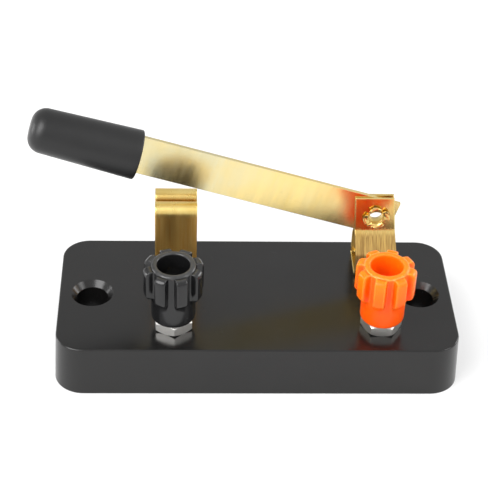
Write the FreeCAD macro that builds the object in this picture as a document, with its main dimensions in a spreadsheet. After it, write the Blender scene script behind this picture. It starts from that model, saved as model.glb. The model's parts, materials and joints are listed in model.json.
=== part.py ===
import FreeCAD, Part
import math
import os
import Sketcher

# Single-pole knife blade switch on a moulded base, with two binding posts.
# Millimetres, +Z up, +X along the base from the jaw to the hinge, +Y to the back.
# The origin is the middle of the base's underside.

os.makedirs("parts", exist_ok=True)
doc = FreeCAD.newDocument("KnifeBladeSwitch")

# ---------------------------------------------------------------- dimensions

DIMENSIONS = [
    # moulded base: a tapered block, hollow underneath
    ("base_length", 95.2),
    ("base_width", 42.8),
    ("base_corner", 7.0),
    ("base_top", 12.8),
    ("base_draft", 2.68),
    ("base_edge_round", 0.4),
    ("base_overlap", 0.6),
    ("base_wall", 2.5),
    ("base_ceiling", 9.8),
    ("cavity_draft", 1.5),
    ("rib_thickness", 1.8),
    ("rib_depth", 5.0),
    ("mount_spacing", 78.4),
    ("mount_hole_radius", 3.7),
    ("mount_chamfer", 1.35),
    ("mount_boss_radius", 6.0),
    # where the hardware stands
    ("post_line", 11.5),
    ("clip_line", 11.5),
    ("jaw_place", -19.3),
    ("hinge_place", 28.75),
    ("black_place", -19.8),
    ("red_place", 28.9),
    # brass strip of both clips
    ("strip_width", 10.0),
    ("strip_gauge", 0.5),
    ("clip_half_foot", 4.85),
    ("foot_bend", 1.0),
    ("jaw_half_gap", 0.48),
    ("roll_radius", 2.185),
    ("roll_centre", 30.85),
    ("hinge_width", 10.76),
    ("hinge_leg_left", 4.6),
    ("hinge_leg_right", 5.33),
    ("hinge_lean_start", 19.5),
    ("ear_half_gap", 0.5),
    ("ear_top", 33.5),
    ("ear_bend", 24.2),
    ("leg_bend", 19.3),
    ("bend_shift", 0.17),
    ("ear_narrow_reach", 3.95),
    ("ear_cut_top", 34.0),
    ("ear_cut_side", 6.0),
    # blade, pivot and handle
    ("pivot_height", 28.0),
    ("rest_angle", 16.75),
    ("blade_height", 10.1),
    ("blade_gauge", 0.9),
    ("blade_tail", 4.4),
    ("blade_shoulder", 63.2),
    ("tang_half_height", 4.2),
    ("blade_end", 80.0),
    ("blade_hole_radius", 2.11),
    ("ear_hole_radius", 2.07),
    ("eyelet_bore", 1.65),
    ("eyelet_wall", 0.4),
    ("eyelet_reach", 1.02),
    ("petal_radius", 0.925),
    ("petal_slit_inner", 0.5),
    ("petal_slit_outer", 1.5),
    ("eyelet_flange", 3.2),
    ("eyelet_flange_gauge", 0.45),
    ("cap_radius", 5.9),
    ("cap_nose_radius", 5.3),
    ("cap_bore", 5.16),
    ("cap_inner_bore", 4.5),
    ("cap_mouth", 59.4),
    ("cap_bore_step", 63.7),
    ("cap_bore_step_length", 1.0),
    ("cap_tip", 85.2),
    ("cap_nose_round", 3.4),
    ("cap_lip_round", 0.3),
    ("cap_offset", 0.4),
    # binding posts
    ("post_radius", 2.45),
    ("post_hole_radius", 2.55),
    ("post_tip", 22.0),
    ("post_head_radius", 4.4),
    ("post_head_low", 4.4),
    ("post_head_high", 7.6),
    ("lock_washer_radius", 4.4),
    ("top_nut_flats", 8.4),
    ("top_nut_top", 15.5),
    ("top_nut_chamfer", 0.55),
    ("nut_bore_radius", 2.5),
    # knobs
    ("knob_low", 15.6),
    ("knob_high", 30.7),
    ("knob_body_radius", 5.15),
    ("knob_rim_round", 0.55),
    ("knob_foot_round", 0.9),
    ("knob_bore_radius", 3.8),
    ("knob_bore_floor", 22.9),
    ("knob_throat_radius", 2.9),
    ("insert_radius", 3.5),
    ("insert_socket_radius", 3.53),
    ("insert_low", 15.7),
    ("insert_high", 21.6),
    ("insert_gap", 0.1),
    ("fin_radius", 6.98),
    ("fin_low", 22.6),
    ("fin_high", 30.4),
    ("fin_end_round", 1.2),
    ("fin_count", 8),
    ("groove_half_floor", 0.9),
    ("groove_half_side", 1.1),
    ("groove_side_reach", 6.45),
    ("groove_half_mouth", 1.85),
    ("groove_mouth_reach", 6.9),
    ("groove_corner_round", 0.62),
    ("groove_outer_reach", 8.2),
    ("groove_overcut", 0.08),
    # hardware that fixes the clips, and the straps under the base
    ("clip_screw_radius", 1.95),
    ("clip_screw_hole_radius", 2.05),
    ("clip_screw_head_radius", 3.4),
    ("clip_screw_head_top", 15.6),
    ("clip_screw_end", 4.0),
    ("clip_screw_edge", 0.6),
    ("clip_washer_radius", 4.4),
    ("clip_nut_flats", 7.0),
    ("clip_nut_low", 5.0),
    ("clip_nut_high", 8.2),
    ("clip_nut_chamfer", 0.45),
    ("slot_width", 1.0),
    ("slot_depth", 1.1),
    ("link_low", 9.0),
    ("link_half_width", 4.0),
]

sheet = doc.addObject("Spreadsheet::Sheet", "Dims")
for row, (alias, value) in enumerate(DIMENSIONS, start=1):
    sheet.set("A%d" % row, alias)
    sheet.set("B%d" % row, str(value))
    sheet.setAlias("B%d" % row, alias)
doc.recompute()


class Size:
    """A number together with the spreadsheet expression that gives it."""

    def __init__(self, value, text):
        self.value = value
        self.text = text

    def __add__(self, other):
        return Size(self.value + other.value, "(%s + %s)" % (self.text, other.text))

    def __sub__(self, other):
        return Size(self.value - other.value, "(%s - %s)" % (self.text, other.text))

    def __neg__(self):
        return Size(-self.value, "(-%s)" % self.text)

    def __mul__(self, factor):
        return Size(self.value * factor, "(%s * %.6f)" % (self.text, factor))


def dim(alias):
    return Size(float(sheet.get(alias)), "Dims." + alias)


ZERO = Size(0.0, "0")

# ------------------------------------------------------------------- helpers


def new_body(name):
    body = doc.addObject("PartDesign::Body", name + "_body")
    body.Label = name
    return body


def place(body, east=ZERO, north=ZERO, up=ZERO):
    body.setExpression(".Placement.Base.x", east.text)
    body.setExpression(".Placement.Base.y", north.text)
    body.setExpression(".Placement.Base.z", up.text)


def new_sketch(body, plane, name, lift=None):
    """A sketch on one of the body's origin planes, moved along its normal by lift."""
    sketch = body.newObject("Sketcher::SketchObject", body.Label + "_" + name)
    for feature in body.Origin.OriginFeatures:
        if feature.Role == plane:
            sketch.AttachmentSupport = [(feature, "")]
    sketch.MapMode = "FlatFace"
    if lift is not None:
        sketch.setExpression(".AttachmentOffset.Base.z", lift.text)
    return sketch


def bind(sketch, constraint, size):
    index = sketch.addConstraint(constraint)
    sketch.setExpression("Constraints[%d]" % index, size.text)


def add_circle(sketch, across, along, radius):
    centre = FreeCAD.Vector(across.value, along.value, 0)
    normal = FreeCAD.Vector(0, 0, 1)
    index = sketch.addGeometry(Part.Circle(centre, normal, radius.value), False)
    bind(sketch, Sketcher.Constraint("Radius", index, radius.value), radius)
    bind(sketch, Sketcher.Constraint("DistanceX", -1, 1, index, 3, across.value), across)
    bind(sketch, Sketcher.Constraint("DistanceY", -1, 1, index, 3, along.value), along)


def arc_between(first, last, radius, turn):
    """The arc of up to half a turn from first to last; turn is +1 for counter-clockwise."""
    chord = last - first
    middle = (first + last) * 0.5
    height = math.sqrt(max(radius ** 2 - (chord.Length / 2) ** 2, 0.0))
    left = FreeCAD.Vector(-chord.y, chord.x, 0)
    centre = middle + left * (turn * height / chord.Length)
    circle = Part.Circle(centre, FreeCAD.Vector(0, 0, 1), radius)
    start = math.atan2(first.y - centre.y, first.x - centre.x)
    end = math.atan2(last.y - centre.y, last.x - centre.x)
    if turn < 0:
        start, end = end, start
    if end <= start:
        end += 2 * math.pi
    return Part.ArcOfCircle(circle, start, end)


def add_outline(sketch, corners):
    """A closed outline. Each corner is (across, along), or (across, along, radius, turn)
    when the edge that leaves it is an arc."""
    points = [FreeCAD.Vector(corner[0].value, corner[1].value, 0) for corner in corners]
    ends = []
    for number, corner in enumerate(corners):
        first = points[number]
        last = points[(number + 1) % len(points)]
        if len(corner) == 4:
            arc = arc_between(first, last, corner[2].value, corner[3])
            index = sketch.addGeometry(arc, False)
            ends.append((index, 1, 2) if corner[3] > 0 else (index, 2, 1))
        else:
            index = sketch.addGeometry(Part.LineSegment(first, last), False)
            ends.append((index, 1, 2))
    for number, corner in enumerate(corners):
        index, start, _ = ends[number]
        before, _, end = ends[number - 1]
        sketch.addConstraint(Sketcher.Constraint("Coincident", before, end, index, start))
        across = Sketcher.Constraint("DistanceX", -1, 1, index, start, corner[0].value)
        along = Sketcher.Constraint("DistanceY", -1, 1, index, start, corner[1].value)
        bind(sketch, across, corner[0])
        bind(sketch, along, corner[1])
        if len(corner) == 4:
            bind(sketch, Sketcher.Constraint("Radius", index, corner[2].value), corner[2])


def rounded_rectangle(half_length, half_width, corner):
    """Corners of a rectangle about the origin with all four corners rounded."""
    long_end = half_length - corner
    wide_end = half_width - corner
    return [
        (-long_end, -half_width),
        (long_end, -half_width, corner, 1),
        (half_length, -wide_end),
        (half_length, wide_end, corner, 1),
        (long_end, half_width),
        (-long_end, half_width, corner, 1),
        (-half_length, wide_end),
        (-half_length, -wide_end, corner, 1),
    ]


def hexagon(flats):
    """Corners of a hexagon about the origin with two corners on the along axis."""
    side = flats * (0.5 / math.sqrt(3))
    point = flats * (1 / math.sqrt(3))
    half = flats * 0.5
    return [(half, -side), (half, side), (ZERO, point), (-half, side), (-half, -side),
            (ZERO, -point)]


def pad(body, sketch, length, both_ways=False, backwards=False):
    feature = body.newObject("PartDesign::Pad", sketch.Label + "_pad")
    feature.Profile = sketch
    feature.setExpression("Length", length.text)
    feature.Midplane = both_ways
    feature.Reversed = backwards
    doc.recompute()
    return feature


def pocket(body, sketch, length=None, backwards=False):
    """Cuts the sketch out of the body, right through when no length is given."""
    volume = body.Shape.Volume
    feature = body.newObject("PartDesign::Pocket", sketch.Label + "_pocket")
    feature.Profile = sketch
    if length is None:
        feature.Type = "ThroughAll"
        feature.Midplane = True
    else:
        feature.setExpression("Length", length.text)
        feature.Reversed = backwards
    doc.recompute()
    if body.Shape.Volume > volume - 1e-3:
        raise RuntimeError(sketch.Label + " cuts nothing")
    return feature


def revolve(body, sketch, axis):
    feature = body.newObject("PartDesign::Revolution", sketch.Label + "_turned")
    feature.Profile = sketch
    feature.ReferenceAxis = (sketch, [axis])
    feature.Angle = 360.0
    doc.recompute()
    return feature


def repeat_around(body, sketch, feature, count):
    pattern = body.newObject("PartDesign::PolarPattern", feature.Label + "_repeated")
    pattern.Originals = [feature]
    pattern.Axis = (sketch, ["N_Axis"])
    pattern.Angle = 360.0
    pattern.setExpression("Occurrences", count.text)
    body.Tip = pattern
    doc.recompute()
    return pattern


def edges_where(shape, wanted):
    names = []
    for number, edge in enumerate(shape.Edges, start=1):
        if wanted(edge):
            names.append("Edge%d" % number)
    return names


def dress(body, kind, previous, names, size_name, size):
    """A fillet or chamfer on the named edges of the feature before it."""
    feature = body.newObject("PartDesign::" + kind, previous.Label + "_" + kind.lower())
    feature.Base = (previous, names)
    feature.setExpression(size_name, size.text)
    doc.recompute()
    return feature


def bend_edges(shape, spots):
    """Edges that run along X at the given (y, z) spots."""
    def at_a_spot(edge):
        middle = edge.CenterOfMass
        runs_along = edge.BoundBox.XLength > 1 and edge.BoundBox.YLength < 1e-3
        near = [abs(middle.y - y) + abs(middle.z - z) < 0.05 for y, z in spots]
        return runs_along and any(near)
    return edges_where(shape, at_a_spot)


# ---------------------------------------------------------------------- base

base = new_body("base")
foot = new_sketch(base, "XY_Plane", "foot")
foot_corners = rounded_rectangle(dim("base_length") * 0.5, dim("base_width") * 0.5,
                                 dim("base_corner"))
add_outline(foot, foot_corners)
block = pad(base, foot, dim("base_top"))
block.setExpression("TaperAngle", "-Dims.base_draft * 1 deg")
doc.recompute()

cavity = new_sketch(base, "XY_Plane", "cavity")
wall = dim("base_wall")
cavity_corners = rounded_rectangle(dim("base_length") * 0.5 - wall,
                                   dim("base_width") * 0.5 - wall,
                                   dim("base_corner") - wall)
add_outline(cavity, cavity_corners)
hollow = pocket(base, cavity, dim("base_ceiling"), backwards=True)
hollow.setExpression("TaperAngle", "-Dims.cavity_draft * 1 deg")
doc.recompute()

bosses = new_sketch(base, "XY_Plane", "bosses")
for side in (-1, 1):
    add_circle(bosses, dim("mount_spacing") * (0.5 * side), ZERO, dim("mount_boss_radius"))
pad(base, bosses, dim("base_ceiling") + dim("base_overlap"))

# One low rib across the middle of the hollow, hanging from its ceiling.
rib = new_sketch(base, "XY_Plane", "rib", lift=dim("base_ceiling") - dim("rib_depth"))
half_rib = dim("rib_thickness") * 0.5
rib_reach = dim("base_width") * 0.5 - wall * 0.5
add_outline(rib, [(-half_rib, -rib_reach), (half_rib, -rib_reach), (half_rib, rib_reach),
                  (-half_rib, rib_reach)])
rib_pad = pad(base, rib, dim("rib_depth") + dim("base_overlap"))

base_top = dim("base_top").value
top_edges = edges_where(rib_pad.Shape, lambda edge: edge.BoundBox.ZMin > base_top - 1e-3)
rounded = dress(base, "Fillet", rib_pad, top_edges, "Radius", dim("base_edge_round"))

holes = new_sketch(base, "XY_Plane", "holes")
for side in (-1, 1):
    add_circle(holes, dim("mount_spacing") * (0.5 * side), ZERO, dim("mount_hole_radius"))
for post_place in ("black_place", "red_place"):
    add_circle(holes, dim(post_place), -dim("post_line"), dim("post_hole_radius"))
for clip_place in ("jaw_place", "hinge_place"):
    add_circle(holes, dim(clip_place), dim("clip_line"), dim("clip_screw_hole_radius"))
drilled = pocket(base, holes)


def is_mount_rim(edge):
    on_top = edge.BoundBox.ZMin > base_top - 1e-3
    round_edge = hasattr(edge.Curve, "Radius")
    return on_top and round_edge and abs(edge.Curve.Radius - dim("mount_hole_radius").value) < 1e-3


mount_rims = edges_where(drilled.Shape, is_mount_rim)
dress(base, "Chamfer", drilled, mount_rims, "Size", dim("mount_chamfer"))

# --------------------------------------------------------------------- clips

gauge = dim("strip_gauge")
leg = dim("clip_half_foot")


def screw_hole(body):
    hole = new_sketch(body, "XY_Plane", "screw_hole", lift=dim("base_top") - gauge)
    add_circle(hole, ZERO, ZERO, dim("clip_screw_hole_radius"))
    pocket(body, hole, gauge * 3, backwards=True)


def mirrored(corners):
    """A right half outline, bottom to top, closed with its mirror image."""
    left = []
    for number in range(len(corners) - 1, -1, -1):
        corner = corners[number]
        edge = corners[number - 1][2:] if number > 0 else ()
        left.append((-corner[0], corner[1]) + tuple(edge))
    return corners + left


# Jaw: a U of strip whose two leg tops roll inwards and grip the blade between them.
jaw = new_body("jaw_clip")
place(jaw, dim("jaw_place"), dim("clip_line"))
roll = dim("roll_radius")
roll_inner = roll - gauge
roll_across = dim("jaw_half_gap") + roll
roll_height = dim("roll_centre")
slant = math.sqrt(0.5)
jaw_profile = new_sketch(jaw, "YZ_Plane", "profile")
outer = [
    (leg, dim("base_top")),
    (leg, roll_height, roll, 1),
    (roll_across, roll_height + roll, roll, 1),
    (dim("jaw_half_gap"), roll_height, roll, 1),
    (roll_across - roll * slant, roll_height - roll * slant),
    (roll_across - roll_inner * slant, roll_height - roll_inner * slant, roll_inner, -1),
    (roll_across - roll_inner, roll_height, roll_inner, -1),
    (roll_across, roll_height + roll_inner, roll_inner, -1),
    (leg - gauge, roll_height),
    (leg - gauge, dim("base_top") + gauge),
]
# The outline runs up the right leg, round its roll and back down inside it.
add_outline(jaw_profile, mirrored(outer))
jaw_strip = pad(jaw, jaw_profile, dim("strip_width"), both_ways=True)
low = dim("base_top").value
jaw_outer = bend_edges(jaw_strip.Shape, [(leg.value, low), (-leg.value, low)])
jaw_bent = dress(jaw, "Fillet", jaw_strip, jaw_outer, "Radius", dim("foot_bend"))
inner_spots = [(leg.value - gauge.value, low + gauge.value),
               (gauge.value - leg.value, low + gauge.value)]
jaw_inner = bend_edges(jaw_bent.Shape, inner_spots)
dress(jaw, "Fillet", jaw_bent, jaw_inner, "Radius", dim("foot_bend") - gauge)
screw_hole(jaw)

# Hinge clip: a U whose legs lean in to two flat ears, one on each side of the blade.
hinge = new_body("hinge_clip")
place(hinge, dim("hinge_place"), dim("clip_line"))
ear = dim("ear_half_gap")
hinge_profile = new_sketch(hinge, "YZ_Plane", "profile")
right_side = [
    (leg, dim("base_top")),
    (leg, dim("leg_bend")),
    (ear + gauge, dim("ear_bend")),
    (ear + gauge, dim("ear_top")),
    (ear, dim("ear_top")),
    (ear, dim("ear_bend") - dim("bend_shift")),
    (leg - gauge, dim("leg_bend") - dim("bend_shift")),
    (leg - gauge, dim("base_top") + gauge),
]
add_outline(hinge_profile, mirrored(right_side))
hinge_strip = pad(hinge, hinge_profile, dim("hinge_width"), both_ways=True)
outer_spots = []
inner_spots = []
for side in (-1, 1):
    outer_spots.append((side * leg.value, low))
    outer_spots.append((side * leg.value, dim("leg_bend").value))
    outer_spots.append((side * ear.value, (dim("ear_bend") - dim("bend_shift")).value))
    inner_spots.append((side * (leg - gauge).value, low + gauge.value))
    inner_spots.append((side * (leg - gauge).value, (dim("leg_bend") - dim("bend_shift")).value))
    inner_spots.append((side * (ear + gauge).value, dim("ear_bend").value))
hinge_bent = dress(hinge, "Fillet", hinge_strip, bend_edges(hinge_strip.Shape, outer_spots),
                   "Radius", dim("foot_bend"))
dress(hinge, "Fillet", hinge_bent, bend_edges(hinge_bent.Shape, inner_spots),
      "Radius", dim("foot_bend") - gauge)
screw_hole(hinge)
# The ears taper a little and lean towards the jaw.
side_edges = new_sketch(hinge, "XZ_Plane", "side_edges")
add_outline(side_edges, [
    (dim("hinge_leg_right"), dim("base_top")),
    (dim("ear_cut_side"), dim("base_top")),
    (dim("ear_cut_side"), dim("ear_cut_top")),
    (dim("ear_narrow_reach"), dim("ear_cut_top")),
    (dim("hinge_leg_right"), dim("hinge_lean_start")),
])
add_outline(side_edges, [
    (-dim("hinge_leg_left"), dim("base_top")),
    (-dim("hinge_leg_left"), dim("hinge_lean_start")),
    (dim("hinge_width") * -0.5, dim("ear_cut_top")),
    (-dim("ear_cut_side"), dim("ear_cut_top")),
    (-dim("ear_cut_side"), dim("base_top")),
])
pocket(hinge, side_edges)
ear_holes = new_sketch(hinge, "XZ_Plane", "ear_holes")
add_circle(ear_holes, ZERO, dim("pivot_height"), dim("ear_hole_radius"))
pocket(hinge, ear_holes)

# ----------------------------------------------------- blade, handle and pivot


def place_on_pivot(body, swing, aside=ZERO):
    place(body, dim("hinge_place"), dim("clip_line") - aside, dim("pivot_height"))
    if swing:
        body.Placement.Rotation = FreeCAD.Rotation(FreeCAD.Vector(0, 1, 0), 1)
        body.setExpression(".Placement.Rotation.Angle", "Dims.rest_angle * 1 deg")


blade = new_body("blade")
place_on_pivot(blade, swing=True)
blade_profile = new_sketch(blade, "XZ_Plane", "profile")
half_blade = dim("blade_height") * 0.5
half_tang = dim("tang_half_height")
# Inside the cap the blade narrows to a tang.
add_outline(blade_profile, [
    (-dim("blade_end"), -half_tang),
    (-dim("blade_shoulder"), -half_tang),
    (-dim("blade_shoulder"), -half_blade),
    (dim("blade_tail"), -half_blade),
    (dim("blade_tail"), half_blade),
    (-dim("blade_shoulder"), half_blade),
    (-dim("blade_shoulder"), half_tang),
    (-dim("blade_end"), half_tang),
])
add_circle(blade_profile, ZERO, ZERO, dim("blade_hole_radius"))
pad(blade, blade_profile, dim("blade_gauge"), both_ways=True)

# The cap is a tapered sleeve, closed at the tip, that sits a little in front of the blade.
cap = new_body("handle_cap")
place_on_pivot(cap, swing=True, aside=dim("cap_offset"))
cap_profile = new_sketch(cap, "XZ_Plane", "profile")
nose = dim("cap_nose_round")
nose_wall = dim("cap_nose_radius") - dim("cap_inner_bore")
lip = dim("cap_lip_round")
bore_step = -dim("cap_bore_step")
add_outline(cap_profile, [
    (-dim("cap_mouth"), dim("cap_bore")),
    (-dim("cap_mouth"), dim("cap_radius") - lip, lip, 1),
    (-dim("cap_mouth") - lip, dim("cap_radius")),
    (nose - dim("cap_tip"), dim("cap_nose_radius"), nose, 1),
    (-dim("cap_tip"), dim("cap_nose_radius") - nose),
    (-dim("cap_tip"), ZERO),
    (nose_wall - dim("cap_tip"), ZERO),
    (nose_wall - dim("cap_tip"), dim("cap_nose_radius") - nose, nose - nose_wall, -1),
    (nose - dim("cap_tip"), dim("cap_inner_bore")),
    (bore_step - dim("cap_bore_step_length"), dim("cap_inner_bore")),
    (bore_step, dim("cap_bore")),
])
revolve(cap, cap_profile, "H_Axis")

eyelet = new_body("pivot_eyelet")
place_on_pivot(eyelet, swing=False)
eyelet_profile = new_sketch(eyelet, "YZ_Plane", "profile")
bore = dim("eyelet_bore")
barrel = bore + dim("eyelet_wall")
reach = dim("eyelet_reach")
petal = dim("petal_radius")
petal_inner = petal - dim("eyelet_wall")
crest = bore + petal
flange_back = reach + dim("eyelet_flange_gauge")
add_outline(eyelet_profile, [
    (flange_back, bore),
    (flange_back, dim("eyelet_flange")),
    (reach, dim("eyelet_flange")),
    (reach, barrel),
    (-reach, barrel, petal_inner, -1),
    (-reach - petal_inner, crest, petal_inner, -1),
    (-reach, crest + petal_inner),
    (-reach, crest + petal, petal, 1),
    (-reach - petal, crest, petal, 1),
    (-reach, bore),
])
turned = revolve(eyelet, eyelet_profile, "H_Axis")
# Six slits split the front of the barrel into petals, which are curled over the ear.
slit = new_sketch(eyelet, "XZ_Plane", "slit", lift=reach)
slit_start = barrel
slit_end = crest + petal * 2
add_outline(slit, [
    (dim("petal_slit_inner") * -0.5, slit_start),
    (dim("petal_slit_inner") * 0.5, slit_start),
    (dim("petal_slit_outer") * 0.5, slit_end),
    (dim("petal_slit_outer") * -0.5, slit_end),
])
one_slit = pocket(eyelet, slit, petal * 2, backwards=True)
repeat_around(eyelet, slit, one_slit, Size(6, "6"))

# ------------------------------------------------------------- binding posts


def build_hex_nut(name, east, north, flats, low_face, high_face, bore_radius, chamfer, turn):
    """A hexagon nut chamfered on both faces."""
    body = new_body(name)
    place(body, east, north)
    body.Placement.Rotation = FreeCAD.Rotation(FreeCAD.Vector(0, 0, 1), turn)
    round_profile = new_sketch(body, "XZ_Plane", "section")
    corner = flats * 0.59
    flat_ring = flats * 0.5
    add_outline(round_profile, [
        (bore_radius, low_face),
        (flat_ring, low_face),
        (corner, low_face + chamfer),
        (corner, high_face - chamfer),
        (flat_ring, high_face),
        (bore_radius, high_face),
    ])
    revolve(body, round_profile, "V_Axis")
    sides = new_sketch(body, "XY_Plane", "sides")
    add_outline(sides, hexagon(flats))
    add_circle(sides, ZERO, ZERO, flats)
    pocket(body, sides)
    return body


def build_post(colour, east, nut_turn):
    north = -dim("post_line")

    # Bolt: pan head under the base, plain shank up through nut and knob.
    bolt = new_body(colour + "_post_bolt")
    place(bolt, east, north)
    section = new_sketch(bolt, "XZ_Plane", "section")
    head_round = dim("knob_rim_round")
    add_outline(section, [
        (ZERO, dim("post_head_low")),
        (dim("post_head_radius") - head_round, dim("post_head_low"), head_round, 1),
        (dim("post_head_radius"), dim("post_head_low") + head_round),
        (dim("post_head_radius"), dim("post_head_high")),
        (dim("post_radius"), dim("post_head_high")),
        (dim("post_radius"), dim("post_tip") - head_round),
        (dim("post_radius") - head_round, dim("post_tip")),
        (ZERO, dim("post_tip")),
    ])
    revolve(bolt, section, "V_Axis")
    cut_slot(bolt, dim("post_head_low"), dim("post_head_radius"), upwards=True)

    build_hex_nut(colour + "_post_nut", east, north, dim("top_nut_flats"), dim("base_top"),
                  dim("top_nut_top"), dim("nut_bore_radius"), dim("top_nut_chamfer"), nut_turn)

    # Knob: a tube with a plain foot and finned upper part, open at the top.
    knob = new_body(colour + "_knob")
    place(knob, east, north)
    knob.Placement.Rotation = FreeCAD.Rotation(FreeCAD.Vector(0, 0, 1), KNOB_TURN[colour])
    body_radius = dim("knob_body_radius")
    rim = dim("knob_rim_round")
    knob_foot = dim("knob_foot_round")
    fin = dim("fin_radius")
    end_round = dim("fin_end_round")
    knob_section = new_sketch(knob, "XZ_Plane", "section")
    add_outline(knob_section, [
        (dim("insert_socket_radius"), dim("knob_low")),
        (body_radius - knob_foot, dim("knob_low"), knob_foot, 1),
        (body_radius, dim("knob_low") + knob_foot),
        (body_radius, dim("fin_low")),
        (fin - end_round, dim("fin_low"), end_round, 1),
        (fin, dim("fin_low") + end_round),
        (fin, dim("fin_high") - end_round, end_round, 1),
        (fin - end_round, dim("fin_high")),
        (body_radius, dim("fin_high")),
        (body_radius, dim("knob_high") - rim, rim, 1),
        (body_radius - rim, dim("knob_high")),
        (dim("knob_bore_radius"), dim("knob_high")),
        (dim("knob_bore_radius"), dim("knob_bore_floor")),
        (dim("knob_throat_radius"), dim("knob_bore_floor")),
        (dim("knob_throat_radius"), dim("insert_high")),
        (dim("insert_socket_radius"), dim("insert_high")),
    ])
    revolve(knob, knob_section, "V_Axis")
    overcut = dim("groove_overcut")
    floor = body_radius - overcut
    groove = new_sketch(knob, "XY_Plane", "groove", lift=dim("fin_low") - overcut)
    side = dim("groove_half_side")
    mouth = dim("groove_half_mouth")
    corner = dim("groove_corner_round")
    add_outline(groove, [
        (-dim("groove_half_floor"), floor),
        (dim("groove_half_floor"), floor),
        (side, dim("groove_side_reach"), corner, -1),
        (mouth, dim("groove_mouth_reach")),
        (mouth, dim("groove_outer_reach")),
        (-mouth, dim("groove_outer_reach")),
        (-mouth, dim("groove_mouth_reach"), corner, -1),
        (-side, dim("groove_side_reach")),
    ])
    one_groove = pocket(knob, groove, dim("fin_high") - dim("fin_low") + overcut * 2,
                        backwards=True)
    repeat_around(knob, groove, one_groove, dim("fin_count"))

    # Threaded brass bush in the foot of the knob.
    insert = new_body(colour + "_knob_insert")
    place(insert, east, north)
    insert_section = new_sketch(insert, "XZ_Plane", "section")
    add_outline(insert_section, [
        (dim("nut_bore_radius"), dim("insert_low")),
        (dim("insert_radius"), dim("insert_low")),
        (dim("insert_radius"), dim("insert_high") - dim("insert_gap")),
        (dim("nut_bore_radius"), dim("insert_high") - dim("insert_gap")),
    ])
    revolve(insert, insert_section, "V_Axis")

    build_washer(colour + "_lock_washer", east, north, dim("lock_washer_radius"),
                 dim("post_hole_radius"), dim("post_head_high"), dim("link_low"), split=True)


def cut_slot(body, face_height, head_radius, upwards):
    """A straight driver slot across a screw head."""
    slot = new_sketch(body, "XY_Plane", "slot", lift=face_height)
    half = dim("slot_width") * 0.5
    long_half = head_radius * 1.2
    add_outline(slot, [(-long_half, -half), (long_half, -half), (long_half, half),
                       (-long_half, half)])
    pocket(body, slot, dim("slot_depth"), backwards=upwards)


def build_washer(name, east, north, radius, hole_radius, low_face, high_face, split):
    """A plain washer, or a lock washer with a cut through one side."""
    disc = doc.addObject("Part::Cylinder", name + "_disc")
    disc.setExpression("Radius", radius.text)
    disc.setExpression("Height", (high_face - low_face).text)
    hole = doc.addObject("Part::Cylinder", name + "_hole")
    hole.setExpression("Radius", hole_radius.text)
    hole.setExpression("Height", (high_face - low_face).text)
    ring = doc.addObject("Part::Cut", name + "_ring")
    ring.Base = disc
    ring.Tool = hole
    washer = ring
    if split:
        gap = doc.addObject("Part::Box", name + "_gap")
        gap.setExpression("Length", (radius * 2).text)
        gap.setExpression("Width", (dim("slot_width") * 0.6).text)
        gap.setExpression("Height", (high_face - low_face).text)
        washer = doc.addObject("Part::Cut", name + "_split")
        washer.Base = ring
        washer.Tool = gap
    washer.Label = name
    place(washer, east, north, low_face)
    doc.recompute()
    return washer


# Turn of each knob and nut about its own axis, as the switch stands.
KNOB_TURN = {"black": -5.0, "red": 4.0}
NUT_TURN = {"black": 4.0, "red": 26.0}
for post_colour in ("black", "red"):
    build_post(post_colour, dim(post_colour + "_place"), NUT_TURN[post_colour])

# ------------------------------------- clip screws, nuts, washers and the links


def build_clip_fixing(name, east):
    north = dim("clip_line")
    screw = new_body(name + "_clip_screw")
    place(screw, east, north)
    section = new_sketch(screw, "XZ_Plane", "section")
    edge = dim("clip_screw_edge")
    add_outline(section, [
        (ZERO, dim("clip_screw_end")),
        (dim("clip_screw_radius") - edge, dim("clip_screw_end")),
        (dim("clip_screw_radius"), dim("clip_screw_end") + edge),
        (dim("clip_screw_radius"), dim("base_top") + gauge),
        (dim("clip_screw_head_radius"), dim("base_top") + gauge),
        (dim("clip_screw_head_radius"), dim("clip_screw_head_top") - edge, edge, 1),
        (dim("clip_screw_head_radius") - edge, dim("clip_screw_head_top")),
        (ZERO, dim("clip_screw_head_top")),
    ])
    revolve(screw, section, "V_Axis")
    cut_slot(screw, dim("clip_screw_head_top"), dim("clip_screw_head_radius"), upwards=False)
    build_washer(name + "_clip_washer", east, north, dim("clip_washer_radius"),
                 dim("clip_screw_hole_radius"), dim("clip_nut_high"), dim("link_low"), split=False)
    build_hex_nut(name + "_clip_nut", east, north, dim("clip_nut_flats"), dim("clip_nut_low"),
                  dim("clip_nut_high"), dim("clip_screw_hole_radius"), dim("clip_nut_chamfer"),
                  15.0)


def build_link(name, clip_east, post_east):
    """Brass strap under the top of the base, from a clip's screw to its post."""
    link = new_body(name)
    place(link, clip_east)
    outline = new_sketch(link, "XY_Plane", "outline", lift=dim("link_low"))
    half = dim("link_half_width")
    front = -dim("post_line")
    back = dim("clip_line")
    add_outline(outline, [
        (half, front),
        (half, back, half, 1),
        (ZERO, back + half, half, 1),
        (-half, back),
        (-half, front, half, 1),
        (ZERO, front - half, half, 1),
    ])
    add_circle(outline, post_east - clip_east, front, dim("post_hole_radius"))
    add_circle(outline, ZERO, back, dim("clip_screw_hole_radius"))
    pad(link, outline, dim("base_ceiling") - dim("link_low"))


build_clip_fixing("jaw", dim("jaw_place"))
build_clip_fixing("hinge", dim("hinge_place"))
build_link("jaw_link", dim("jaw_place"), dim("black_place"))
build_link("hinge_link", dim("hinge_place"), dim("red_place"))

# -------------------------------------------------------------------- export

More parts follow.
